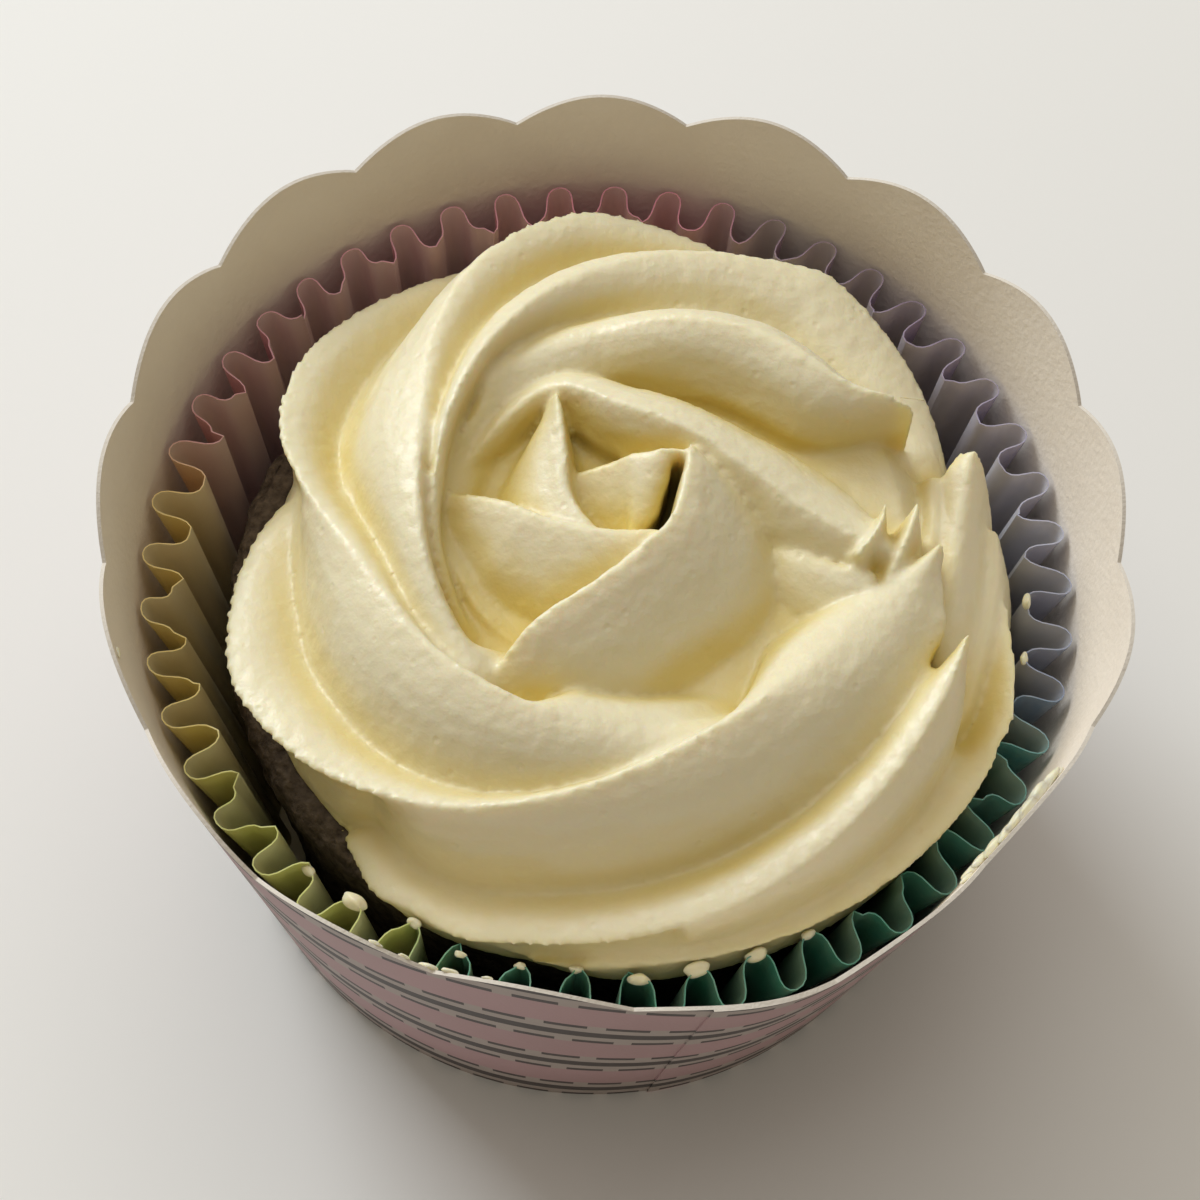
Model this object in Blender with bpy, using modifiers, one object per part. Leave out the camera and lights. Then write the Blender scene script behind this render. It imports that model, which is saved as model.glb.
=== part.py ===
"""Cupcake in a card baking cup: scalloped cup, pleated liner, sponge and a piped rosette.

Sizes are in millimetres here and are turned into metres when a mesh is made.
The origin is the middle of the base, +Z is up and the cup's overlap seam is at the front, -Y.
"""
import math

import bmesh
import bpy

MM = 0.001
GAP = 0.3                      # clearance between pieces that touch

# Card cup
CUP_HEIGHT = 45.0              # to the top of a scallop
CUP_BASE_RADIUS = 30.6
CUP_RIM_RADIUS = 37.8
CARD = 0.6
SCALLOPS = 17
SCALLOP_DEPTH = 2.4
SCALLOP_ROUND = 0.9            # below 1 a lobe is fuller than a half wave
SCALLOP_TURN = 2.0             # degrees from +X to the first notch
SCALLOP_STEPS = 6
CUP_LEVELS = (0.0, 0.45, 0.9)  # wall rings, as a share of the height

# Pleated liner
PLEATS = 48
PLEAT_STEPS = 4
PAPER = 0.35
LINER_HEIGHT = 35.2
LINER_FLOOR_RADIUS = 27.6
LINER_FLOOR = CARD + GAP
LINER_RIM_RADIUS = 35.0        # outside of a pleat
PLEAT_DEPTH_TOP = 3.2
PLEAT_DEPTH_FLOOR = 0.5
LINER_LEVELS = (0.0, 0.5, 1.0)

# Sponge
CAKE_TOP = 31.0
CAKE_TOP_RADIUS = 27.0         # where the flat top ends
CAKE_SHOULDER = 29.0           # height where the side begins
CAKE_SHOULDER_RADIUS = 29.6
CAKE_ROUNDING = 0.7            # how far the top corner is cut back
CAKE_FLOOR_RADIUS = 26.2
CAKE_SIDES = 64

# Rosette: one star-shaped rope laid in a spiral from the middle outwards.
ROSETTE_X = 1.0
ROSETTE_Y = 0.0
ROSETTE_BASE = CAKE_TOP + GAP
ROSETTE_FIT = 29.8             # furthest out that the cream reaches inside the liner
ROSETTE_LEAN = 0.45            # how much further out for each millimetre above the liner
FLUTE = 0.28                   # depth of a flute, as a share of the gap between two ridges
FLUTE_LEAST = 0.35             # part of that depth which even an upright gap keeps
# Where each flute is deepest, from 0 at the ridge outside it to 1 at the ridge inside it
TUCK = (0.30, 0.25, 0.15, 0.30, 0.45, 0.50)
FOOT = 0.8                     # how far in from its edge an open ridge meets the cake
BACK = 4.0                     # run and drop of a ridge's inner face where nothing is inside it
EARLY_SPAN = 120.0             # degrees before its lead over which a ridge leans right in
RISING = -78.0                 # degrees before its lead where a ridge leaves the cake
SUNK = 190.0                   # degrees after its lead where it is lost on the inner side
SECTION_STEP = 5.0             # degrees between the sections of a ridge

# One ridge of the rope a row, from the outside in. A ridge rises from the cake at the outer
# side of the rope, turns over its top and sinks on its inner side.
# lead: angle where it stands furthest out; outer, inner: its radius there and past the top;
# fall, soft: how far round it comes in, and how gradually; drift: spiral growth in a turn's
# quarter; middle, rise: height of the rope's axis and of the ridge above it; first, last: span.
RIDGES = (
    dict(lead=286, outer=31.0, inner=21.0, fall=63, soft=14.5, drift=6.0,
         middle=33.0, rise=3.5, first=255, last=372),
    dict(lead=256, outer=31.5, inner=17.0, fall=46, soft=25.0, drift=6.5,
         middle=35.5, rise=9.0, first=222, last=344),
    dict(lead=208, outer=31.3, inner=8.0, fall=47, soft=24.0, drift=6.5,
         middle=38.5, rise=7.5, first=140, last=360),
    dict(lead=150, outer=30.2, inner=20.5, fall=28, soft=8.5, drift=-2.4,
         middle=38.5, rise=7.5, first=80, last=330),
    dict(lead=101, outer=31.0, inner=12.2, fall=30, soft=16.5, drift=2.7,
         middle=38.5, rise=7.5, first=30, last=262),
    dict(lead=63, outer=30.6, inner=8.6, fall=22, soft=33.0, drift=2.6,
         middle=38.5, rise=7.5, first=-15, last=240),
    dict(lead=-36, outer=28.3, inner=22.0, fall=67, soft=3.7, drift=-3.9,
         middle=39.0, rise=7.5, first=22, last=180),
)

# The folds of the innermost turn: points along each fold's edge (x, y, height) from the
# rosette's middle, then how far its outer and inner faces reach and how far they drop.
FOLDS = (
    dict(edge=((18.5, -1.6, 46.5), (14.0, 0.0, 46.0), (9.8, 3.1, 46.0), (6.8, 5.4, 45.7),
               (3.9, 7.4, 45.2), (-2.0, 10.6, 43.2), (-5.3, 13.0, 41.5)),
         outer=(3.4, 3.2), inner=(1.8, 3.6)),
    dict(edge=((-8.4, -13.7, 44.0), (-4.0, -8.7, 46.5), (-0.7, -5.9, 47.2),
               (2.3, -3.1, 47.6), (3.5, 0.5, 47.5), (3.6, 4.2, 47.0)),
         outer=(7.0, 6.0), inner=(0.8, 5.0)),
    dict(edge=((-13.2, 1.8, 42.5), (-7.5, -1.2, 45.0), (-4.2, -2.4, 45.8),
               (-1.8, -2.7, 46.0), (2.0, -2.2, 46.0)),
         outer=(6.0, 4.0), inner=(1.0, 3.5)),
    dict(edge=((-6.2, 9.3, 45.5), (-5.5, 5.2, 44.8), (-4.9, 2.9, 44.5), (-4.2, 0.4, 44.5),
               (-2.2, -2.1, 45.0)),
         outer=(5.0, 4.5), inner=(1.6, 5.0)),
    dict(edge=((3.6, 4.2, 47.0), (0.6, 4.6, 45.0), (-2.6, 4.3, 42.5), (-4.9, 4.3, 41.0)),
         outer=(1.4, 5.0), inner=(4.0, 2.5)),
)
# The smear at the right, where the rope was pulled off: folds again, from the inside out
SMEAR = (
    dict(edge=((22.6, -9.0, 37.5), (23.2, -5.5, 39.5), (24.2, -1.5, 40.6), (25.0, 4.5, 41.0),
               (25.2, 8.5, 41.4), (24.8, 11.2, 42.2)),
         outer=(1.8, 5.0), inner=(1.6, 2.2)),
    dict(edge=((26.4, -8.0, 35.8), (27.0, -4.0, 36.6), (27.4, 0.0, 37.2), (27.2, 4.0, 37.6),
               (26.4, 8.0, 38.2)),
         outer=(1.4, 4.0), inner=(1.0, 0.9)),
)
FOLD_STEPS = 4                 # sections between two points of a fold's edge
# The cream under the flutes, as a turned profile (radius, height)
CORE = ((0.0, 38.5), (3.5, 38.8), (5.5, 40.6), (21.0, 40.6), (26.0, 35.5), (27.5, ROSETTE_BASE))
CORE_SIDES = 48
VOXEL = 0.7
SOFTEN = 0.5                   # strength of each smoothing pass that rounds the voxels off
SOFTEN_PASSES = 3
KEEP = 0.12                    # share of the remeshed triangles that is kept

# Colours
CARD_PINK = (0.62, 0.36, 0.37, 1.0)
LINER_GREEN = (0.10, 0.30, 0.20, 1.0)
SPONGE_BROWN = (0.045, 0.022, 0.014, 1.0)
CREAM = (0.86, 0.76, 0.50, 1.0)


def collection(name):
    made = bpy.data.collections.new(name)
    bpy.context.scene.collection.children.link(made)
    return made


def material(name, colour, roughness):
    made = bpy.data.materials.new(name)
    made.use_nodes = True
    shader = made.node_tree.nodes["Principled BSDF"]
    shader.inputs["Base Color"].default_value = colour
    shader.inputs["Roughness"].default_value = roughness
    shader.inputs["Metallic"].default_value = 0.0
    return made


def mesh_object(bm, name, home, finish):
    """Turn a bmesh in millimetres into a named object in metres."""
    bmesh.ops.scale(bm, vec=(MM, MM, MM), verts=bm.verts)
    mesh = bpy.data.meshes.new(name)
    bm.to_mesh(mesh)
    bm.free()
    mesh.materials.append(finish)
    made = bpy.data.objects.new(name, mesh)
    home.objects.link(made)
    return made


def ring(bm, count, start, radius_at, height_at):
    """A loop of points round Z; radius and height may change with the angle in degrees."""
    points = []
    for step in range(count):
        angle = start + 360.0 * step / count
        radius = radius_at(angle)
        turn = math.radians(angle)
        points.append(bm.verts.new((radius * math.cos(turn), radius * math.sin(turn),
                                    height_at(angle))))
    return points


def wall(bm, loops):
    """Join loops, from the lowest up, with faces that look outwards."""
    count = len(loops[0])
    for lower, upper in zip(loops, loops[1:]):
        for i in range(count):
            j = (i + 1) % count
            bm.faces.new((lower[i], lower[j], upper[j], upper[i]))


def floor(bm, loop, height):
    """Close a loop with triangles round a middle point, looking down."""
    middle = bm.verts.new((0.0, 0.0, height))
    count = len(loop)
    for i in range(count):
        bm.faces.new((middle, loop[(i + 1) % count], loop[i]))


def thicken(made, thickness):
    """Give an open shell its thickness on the inner side."""
    shell = made.modifiers.new("thickness", "SOLIDIFY")
    shell.thickness = thickness * MM
    shell.offset = -1.0
    shell.use_even_offset = True


# ---- card cup ----

def rim_height(angle):
    """Height of the scalloped edge: a round lobe between two sharp notches."""
    lobe = abs(math.sin(math.radians(SCALLOPS * (angle - SCALLOP_TURN) / 2))) ** SCALLOP_ROUND
    return CUP_HEIGHT - SCALLOP_DEPTH * (1 - lobe)


def cup_radius(height):
    return CUP_BASE_RADIUS + (CUP_RIM_RADIUS - CUP_BASE_RADIUS) * height / CUP_HEIGHT


def build_cup(home):
    bm = bmesh.new()
    count = SCALLOPS * SCALLOP_STEPS
    loops = []
    for share in CUP_LEVELS:
        height = CUP_HEIGHT * share
        loops.append(ring(bm, count, SCALLOP_TURN,
                          lambda a, h=height: cup_radius(h), lambda a, h=height: h))
    loops.append(ring(bm, count, SCALLOP_TURN,
                      lambda a: cup_radius(rim_height(a)), rim_height))
    wall(bm, loops)
    floor(bm, loops[0], 0.0)
    cup = mesh_object(bm, "cup", home, material("card", CARD_PINK, 0.6))
    thicken(cup, CARD)


# ---- pleated liner ----

def liner_radius(angle, share):
    """Outer face of the liner, from its floor (share 0) to its edge (share 1)."""
    outside = LINER_FLOOR_RADIUS + (LINER_RIM_RADIUS - LINER_FLOOR_RADIUS) * share
    depth = PLEAT_DEPTH_FLOOR + (PLEAT_DEPTH_TOP - PLEAT_DEPTH_FLOOR) * share
    return outside - depth * (1 - math.cos(math.radians(PLEATS * angle))) / 2


def build_liner(home):
    bm = bmesh.new()
    loops = []
    for share in LINER_LEVELS:
        height = LINER_FLOOR + (LINER_HEIGHT - LINER_FLOOR) * share
        loops.append(ring(bm, PLEATS * PLEAT_STEPS, 0.0,
                          lambda a, s=share: liner_radius(a, s), lambda a, h=height: h))
    wall(bm, loops)
    floor(bm, loops[0], LINER_FLOOR)
    liner = mesh_object(bm, "liner", home, material("liner_paper", LINER_GREEN, 0.5))
    thicken(liner, PAPER)


# ---- sponge ----

def build_cake(home):
    """The sponge is a turned profile, listed from the top down its outer side."""
    base = LINER_FLOOR + PAPER + GAP
    profile = ((0.0, CAKE_TOP), (CAKE_TOP_RADIUS, CAKE_TOP),
               (CAKE_SHOULDER_RADIUS - CAKE_ROUNDING, CAKE_TOP - CAKE_ROUNDING),
               (CAKE_SHOULDER_RADIUS, CAKE_SHOULDER),
               (CAKE_FLOOR_RADIUS, base), (0.0, base))
    bm = bmesh.new()
    points = [bm.verts.new((radius, 0.0, height)) for radius, height in profile]
    for upper, lower in zip(points, points[1:]):
        bm.edges.new((upper, lower))
    cake = mesh_object(bm, "cake", home, material("sponge", SPONGE_BROWN, 0.9))
    turn = cake.modifiers.new("turn", "SCREW")
    turn.steps = CAKE_SIDES
    turn.render_steps = CAKE_SIDES
    turn.use_merge_vertices = True
    turn.merge_threshold = 0.00001


# ---- piped rosette ----

def ridge_point(ridge, angle):
    """Radius and height of a ridge of the rope at an angle round the rosette."""
    turned = angle - ridge["lead"]
    span = ridge["outer"] - ridge["inner"]
    if turned < 0:
        share = 1 - (turned / EARLY_SPAN) ** 2
    else:
        share = ((1 + math.exp(-ridge["fall"] / ridge["soft"]))
                 / (1 + math.exp((turned - ridge["fall"]) / ridge["soft"])))
    radius = ridge["inner"] + span * share + ridge["drift"] * turned / 90.0
    height = ridge["middle"] + ridge["rise"] * math.sin(math.radians(turned))
    return radius, max(height, ROSETTE_BASE + 0.2)


def valley(outer, inner, tuck):
    """Bottom of the flute between two ridges, sunk below the line that joins their edges."""
    run = inner[0] - outer[0]
    climb = inner[1] - outer[1]
    gap = math.hypot(run, climb)
    return (outer[0] + run * tuck + FLUTE * climb,
            outer[1] + climb * tuck - FLUTE * gap * max(FLUTE_LEAST, -run / gap))


def ridge_section(index, angle):
    """Outline of one ridge at an angle: foot, flute, edge, flute, foot, from the outside in."""
    edge = ridge_point(RIDGES[index], angle)
    outer = (edge[0] - FOOT, ROSETTE_BASE)
    if index > 0 and angle - RIDGES[index - 1]["lead"] > RISING:
        beyond = ridge_point(RIDGES[index - 1], angle)
        if beyond[0] > edge[0]:
            outer = valley(beyond, edge, TUCK[index - 1])
    inner = (edge[0] - BACK, edge[1] - BACK)
    if index + 1 < len(RIDGES) and angle - RIDGES[index + 1]["lead"] < SUNK:
        within = ridge_point(RIDGES[index + 1], angle)
        if within[0] < edge[0]:
            inner = valley(edge, within, TUCK[index])
    inner = (min(inner[0], edge[0] - FOOT), inner[1])
    outline = [(outer[0], ROSETTE_BASE), outer, edge, inner, (inner[0], ROSETTE_BASE)]
    return [(min(radius, ROSETTE_FIT + max(0.0, height - LINER_HEIGHT) * ROSETTE_LEAN),
             max(height, ROSETTE_BASE)) for radius, height in outline]


def loft(bm, sections):
    """Skin a row of outlines that have the same number of points, with both ends capped."""
    rows = [[bm.verts.new(point) for point in section] for section in sections]
    count = len(rows[0])
    for near, far in zip(rows, rows[1:]):
        for i in range(count):
            j = (i + 1) % count
            bm.faces.new((near[i], near[j], far[j], far[i]))
    bm.faces.new(list(reversed(rows[0])))
    bm.faces.new(rows[-1])


def add_ridge(bm, index):
    ridge = RIDGES[index]
    steps = math.ceil((ridge["last"] - ridge["first"]) / SECTION_STEP)
    sections = []
    for step in range(steps + 1):
        angle = ridge["first"] + (ridge["last"] - ridge["first"]) * step / steps
        turn = math.radians(angle)
        sections.append([(ROSETTE_X + radius * math.cos(turn),
                          ROSETTE_Y + radius * math.sin(turn), height)
                         for radius, height in ridge_section(index, angle)])
    loft(bm, sections)


def smooth_line(points, steps):
    """Points on a curve that passes through the given points (Catmull-Rom)."""
    line = []
    for i in range(len(points) - 1):
        before = points[max(i - 1, 0)]
        after = points[min(i + 2, len(points) - 1)]
        for step in range(steps):
            t = step / steps
            line.append([0.5 * (2 * p1 + (p2 - p0) * t + (2 * p0 - 5 * p1 + 4 * p2 - p3) * t * t
                                + (3 * p1 - p0 - 3 * p2 + p3) * t ** 3)
                         for p0, p1, p2, p3 in zip(before, points[i], points[i + 1], after)])
    line.append(list(points[-1]))
    return line


def add_fold(bm, fold):
    """A fold of the innermost turn: a wedge under its edge, wide on its outer, right side."""
    line = smooth_line(fold["edge"], FOLD_STEPS)
    sections = []
    for i, (x, y, height) in enumerate(line):
        near = line[max(i - 1, 0)]
        far = line[min(i + 1, len(line) - 1)]
        length = math.hypot(far[0] - near[0], far[1] - near[1])
        side_x = (far[1] - near[1]) / length
        side_y = -(far[0] - near[0]) / length
        outline = []
        for reach, drop in ((fold["outer"][0], None), fold["outer"], (0.0, 0.0),
                            (-fold["inner"][0], fold["inner"][1]), (-fold["inner"][0], None)):
            level = ROSETTE_BASE if drop is None else height - drop
            outline.append((ROSETTE_X + x + side_x * reach, ROSETTE_Y + y + side_y * reach,
                            level))
        sections.append(outline)
    loft(bm, sections)


def add_core(bm):
    """The solid middle of the rosette, turned from its profile."""
    loops = []
    for radius, height in reversed(CORE[1:]):
        loops.append(ring(bm, CORE_SIDES, 0.0, lambda a, r=radius: r, lambda a, h=height: h))
    wall(bm, loops)
    floor(bm, loops[0], ROSETTE_BASE)
    top = bm.verts.new((0.0, 0.0, CORE[0][1]))
    for i in range(CORE_SIDES):
        bm.faces.new((top, loops[-1][i], loops[-1][(i + 1) % CORE_SIDES]))
    bmesh.ops.translate(bm, vec=(ROSETTE_X, ROSETTE_Y, 0.0), verts=bm.verts)


def build_frosting(home):
    bm = bmesh.new()
    add_core(bm)
    for index in range(len(RIDGES)):
        add_ridge(bm, index)
    for fold in FOLDS + SMEAR:
        add_fold(bm, fold)
    bmesh.ops.recalc_face_normals(bm, faces=bm.faces)
    frosting = mesh_object(bm, "frosting", home, material("cream", CREAM, 0.4))
    join = frosting.modifiers.new("join", "REMESH")
    join.mode = "VOXEL"
    join.voxel_size = VOXEL * MM
    soften = frosting.modifiers.new("soften", "SMOOTH")
    soften.factor = SOFTEN
    soften.iterations = SOFTEN_PASSES
    thin = frosting.modifiers.new("thin", "DECIMATE")
    thin.ratio = KEEP


def main():
    for old in list(bpy.data.objects):
        bpy.data.objects.remove(old, do_unlink=True)
    home = collection("cupcake")
    build_cup(home)
    build_liner(home)
    build_cake(home)
    build_frosting(home)


main()
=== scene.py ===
# %% [markdown]
# # A cupcake in a card baking cup
#
# A chocolate sponge sits in a pleated greaseproof liner, and the liner sits in a stiff card
# cup with a scalloped edge. A rosette of buttercream is piped on top with a star nozzle.
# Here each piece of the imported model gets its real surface.

# %% Load the frame
import math

import bmesh
import bpy
import numpy as np
from mathutils import Matrix, Vector, noise
from mathutils.bvhtree import BVHTree


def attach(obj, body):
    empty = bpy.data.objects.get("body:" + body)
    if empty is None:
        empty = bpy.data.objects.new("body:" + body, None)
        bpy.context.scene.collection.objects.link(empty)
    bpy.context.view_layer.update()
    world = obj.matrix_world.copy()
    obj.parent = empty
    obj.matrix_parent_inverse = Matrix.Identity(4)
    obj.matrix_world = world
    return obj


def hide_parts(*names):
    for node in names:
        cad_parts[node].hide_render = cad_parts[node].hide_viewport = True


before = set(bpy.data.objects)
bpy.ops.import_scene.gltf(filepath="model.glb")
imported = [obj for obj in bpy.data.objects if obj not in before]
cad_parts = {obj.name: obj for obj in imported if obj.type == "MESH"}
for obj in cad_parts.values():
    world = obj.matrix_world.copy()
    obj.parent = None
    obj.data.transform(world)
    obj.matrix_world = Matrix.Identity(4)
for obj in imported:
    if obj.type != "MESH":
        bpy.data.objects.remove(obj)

MM = 0.001
scene = bpy.context.scene
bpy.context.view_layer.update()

# %% [markdown]
# ## Camera
# The eye looks down steeply on the middle of the cup's edge, from close by at the front.

# %% Camera
CUP_HEIGHT = 45.0
EYE_ELEVATION = math.radians(62.24)
EYE_DISTANCE = 181.7
EYE_ROLL = math.radians(6.44)
EYE_RIGHT = -0.53
EYE_UP = -6.96

back = Vector((0.0, -math.cos(EYE_ELEVATION), math.sin(EYE_ELEVATION)))
right = Vector((1.0, 0.0, 0.0))
up = back.cross(right)
aim = Vector((0.0, 0.0, CUP_HEIGHT))
place = aim + back * EYE_DISTANCE + right * EYE_RIGHT + up * EYE_UP
across = right * math.cos(EYE_ROLL) + up * math.sin(EYE_ROLL)
upward = up * math.cos(EYE_ROLL) - right * math.sin(EYE_ROLL)

camera_data = bpy.data.cameras.new("camera")
camera_data.sensor_width = 36.0
camera_data.lens = 74.82
camera_data.clip_start = 0.01
camera_data.clip_end = 10.0
camera = bpy.data.objects.new("camera", camera_data)
scene.collection.objects.link(camera)
facing = Matrix((across, upward, back)).transposed()
camera.matrix_world = Matrix.Translation(place * MM) @ facing.to_4x4()
scene.camera = camera
print("camera at", [round(v) for v in place], "mm")

# %% [markdown]
# ## Helpers
# Pieces are worked in millimetres. Walls, paper and crumb are all grids of points, which
# these helpers turn into meshes in metres.


# %% Mesh helpers
def link(name, data):
    """An object of the scene that shows the given mesh or lamp."""
    made = bpy.data.objects.new(name, data)
    scene.collection.objects.link(made)
    return made


def new_object(name, points, faces):
    """An object in metres from points in millimetres."""
    mesh = bpy.data.meshes.new(name)
    mesh.from_pydata((np.asarray(points) * MM).tolist(), [], faces)
    mesh.shade_smooth()
    return link(name, mesh)


def grid_faces(rows, columns, start=0, flip=False):
    """Faces of rows of points that run round the axis and close on themselves."""
    faces = []
    for row in range(rows - 1):
        for column in range(columns):
            a = start + row * columns + column
            b = start + row * columns + (column + 1) % columns
            face = (a, b, b + columns, a + columns)
            faces.append(face[::-1] if flip else face)
    return faces


def closed_sheet(name, outside, inside, centres, slots):
    """A cup of card or paper: two faces joined along the top, a fan closing each foot.

    The slots are those of the outer face, the inner face, the cut edge and the sole.
    """
    rows, columns = outside.shape[:2]
    count = rows * columns
    top = count - columns
    face_slot, back_slot, edge_slot, sole_slot = slots
    faces = grid_faces(rows, columns) + grid_faces(rows, columns, start=count, flip=True)
    kinds = [face_slot] * (len(faces) // 2) + [back_slot] * (len(faces) // 2)
    for i in range(columns):
        after = (i + 1) % columns
        faces.append((top + i, top + after, count + top + after, count + top + i))
        faces.append((2 * count, after, i))
        faces.append((2 * count + 1, count + i, count + after))
        kinds += [edge_slot, sole_slot, back_slot]
    points = np.concatenate((outside.reshape(-1, 3), inside.reshape(-1, 3), centres))
    made = new_object(name, points, faces)
    made.data.polygons.foreach_set("material_index", kinds)
    return made


def polar(angle, radius, height):
    """Points from angles in degrees, radii and heights; all may be arrays."""
    turn = np.radians(angle)
    flat = np.broadcast_arrays(radius * np.cos(turn), radius * np.sin(turn), height)
    return np.stack(flat, axis=-1)


def turn_between(angle, centre):
    """How far one angle in degrees is past another, from -180 to 180."""
    return (np.asarray(angle) - centre + 180.0) % 360.0 - 180.0


def bump(angle, centre, width):
    """A smooth hump of height 1 round an angle."""
    return np.exp(-(turn_between(angle, centre) / width) ** 2)


def angles_of(points):
    """The angle of each point in degrees."""
    return np.degrees(np.arctan2(points[:, 1], points[:, 0]))


def store(mesh, name, values, kind="FLOAT", field="value"):
    """Keep a number or a colour for each point of a mesh, for its material to read."""
    layer = mesh.attributes.new(name, kind, "POINT")
    layer.data.foreach_set(field, np.asarray(values, dtype=float).ravel())


# %% [markdown]
# A material is a tree of nodes. This class writes one in a few lines.


# %% Material helpers
class Nodes:
    """A short way to write a material's nodes."""

    def __init__(self, name):
        self.material = bpy.data.materials.new(name)
        self.material.use_nodes = True
        self.tree = self.material.node_tree
        self.shader = self.tree.nodes["Principled BSDF"]

    def add(self, kind, inputs=None, **settings):
        """A new shader node with its inputs fed."""
        node = self.tree.nodes.new("ShaderNode" + kind)
        for key, value in settings.items():
            setattr(node, key, value)
        for key, value in (inputs or {}).items():
            self.feed(node.inputs[key], value)
        return node

    def feed(self, socket, value):
        """Link an output to a socket, or set the socket to a plain value."""
        if isinstance(value, bpy.types.NodeSocket):
            self.tree.links.new(value, socket)
        else:
            socket.default_value = value

    def paint(self, **sockets):
        """Feed the shader's sockets; an underscore stands for a space in a name."""
        for name, value in sockets.items():
            self.feed(self.shader.inputs[name.replace("_", " ")], value)

    def maths(self, operation, *values):
        """One sum on numbers or outputs."""
        return self.add("Math", dict(enumerate(values)), operation=operation).outputs[0]

    def blend(self, share, one, two):
        """One colour at share 0, two at share 1."""
        return self.add("Mix", {0: share, 6: one, 7: two}, data_type="RGBA").outputs[2]

    def attribute(self, name, output="Fac"):
        return self.add("Attribute", attribute_name=name).outputs[output]

    def grain(self, scale, detail=3.0, stretch=None):
        """Noise in the object's own space; scale is in features a metre."""
        place = self.add("TexCoord").outputs["Object"]
        if stretch:
            place = self.add("Mapping", {"Vector": place, "Scale": stretch}).outputs[0]
        inputs = {"Vector": place, "Scale": scale, "Detail": detail}
        return self.add("TexNoise", inputs).outputs["Fac"]

    def spread(self, *values):
        """Map a value from low..high to other limits and hold the ends."""
        return self.add("MapRange", dict(enumerate(values))).outputs[0]

    def relief(self, height, strength, distance, under=None):
        """A bumped normal; under is a coarser one to start from."""
        inputs = {"Height": height, "Strength": strength, "Distance": distance}
        if under is not None:
            inputs["Normal"] = under
        return self.add("Bump", inputs).outputs[0]


# %% [markdown]
# ## Floor and light
# Soft daylight from a window behind and to the left rakes over the ridges of the cream. It
# leaves their near faces in a warm half shade. A pale floor throws some back.

# %% Floor and light
FLOOR_COLOUR = (0.86, 0.86, 0.85, 1.0)
FLOOR_CORNERS = ((-2, -2, 0), (2, -2, 0), (2, 2, 0), (-2, 2, 0))
LIGHT_TARGET = Vector((0.0, 0.0, 0.04))
ROOM_COLOUR = (1.0, 0.89, 0.73, 1.0)
ROOM_STRENGTH = 0.27

floor_mesh = bpy.data.meshes.new("floor")
floor_mesh.from_pydata(FLOOR_CORNERS, [], [(0, 1, 2, 3)])
floor = link("floor", floor_mesh)
plain = Nodes("floor_paint")
plain.paint(Base_Color=FLOOR_COLOUR, Roughness=0.9)
floor_mesh.materials.append(plain.material)


def soft_light(name, place, size, power, colour):
    """A square lamp aimed at the middle of the cake."""
    lamp = bpy.data.lights.new(name, "AREA")
    lamp.shape = "SQUARE"
    lamp.size = size
    lamp.energy = power
    lamp.color = colour
    holder = link(name, lamp)
    spot = Vector(place)
    facing = (spot - LIGHT_TARGET).to_track_quat("Z", "Y")
    holder.matrix_world = Matrix.Translation(spot) @ facing.to_matrix().to_4x4()


soft_light("window", (-0.50, 0.50, 0.44), 0.40, 4.8, (0.90, 0.96, 1.0))
soft_light("ceiling", (-0.15, 0.25, 0.80), 0.80, 2.9, (1.0, 0.96, 0.88))
world = bpy.data.worlds.new("room")
world.use_nodes = True
room = world.node_tree.nodes["Background"]
room.inputs["Color"].default_value = ROOM_COLOUR
room.inputs["Strength"].default_value = ROOM_STRENGTH
scene.world = world
scene.view_settings.view_transform = "Standard"

# %% [markdown]
# ## The card cup
# The cup is one strip of printed card, bent into a cone and glued where its ends overlap at
# the front. Its top is cut in scallops, and the cut shows the white core of the card. Hands
# have pushed the front edge a little out of round.

# %% Card cup shape
CUP_BASE_RADIUS = 30.6
CUP_RIM_RADIUS = 37.8
CARD = 0.28
SCALLOPS = 17
SCALLOP_DEPTH = 2.4
SCALLOP_TURN = 2.0
LOBE_POWER = 0.9
SEAM = 285.0
PUSHES = ((1.1, 292, 11), (-0.7, 325, 11), (0.6, 348, 9), (-0.4, 264, 12),
          (0.35, 236, 14), (0.25, 150, 20), (-0.2, 60, 15))
PUSH_POWER = 1.6


def rim_height(angle):
    """Round lobes between sharp notches."""
    lobe = np.abs(np.sin(np.radians(SCALLOPS * (angle - SCALLOP_TURN) / 2))) ** LOBE_POWER
    return CUP_HEIGHT - SCALLOP_DEPTH * (1 - lobe)


def out_of_round(angle, share):
    """How far the pushed card stands off its cone; it grows towards the rim."""
    push = sum(reach * bump(angle, centre, width) for reach, centre, width in PUSHES)
    return push * share ** PUSH_POWER


def card_radius(angle, height, share):
    """Radius of the outer face of the card."""
    cone = CUP_BASE_RADIUS + (CUP_RIM_RADIUS - CUP_BASE_RADIUS) * height / CUP_HEIGHT
    return cone + out_of_round(angle, share)


print("lobes:", SCALLOPS)

# %% [markdown]
# The wall is a grid of points that goes round from the seam, with a second grid inside it.
# Where the strip starts it stands off a little, as it laps over its own end.

# %% Card cup mesh
SCALLOP_STEPS = 36
CUP_ROWS = 16
SEAM_STEP = 0.15
SEAM_FADE = 24.0
CARD_CREASE = math.radians(40)
PRINTED, RAW, CORE_EDGE = 0, 1, 2

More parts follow.
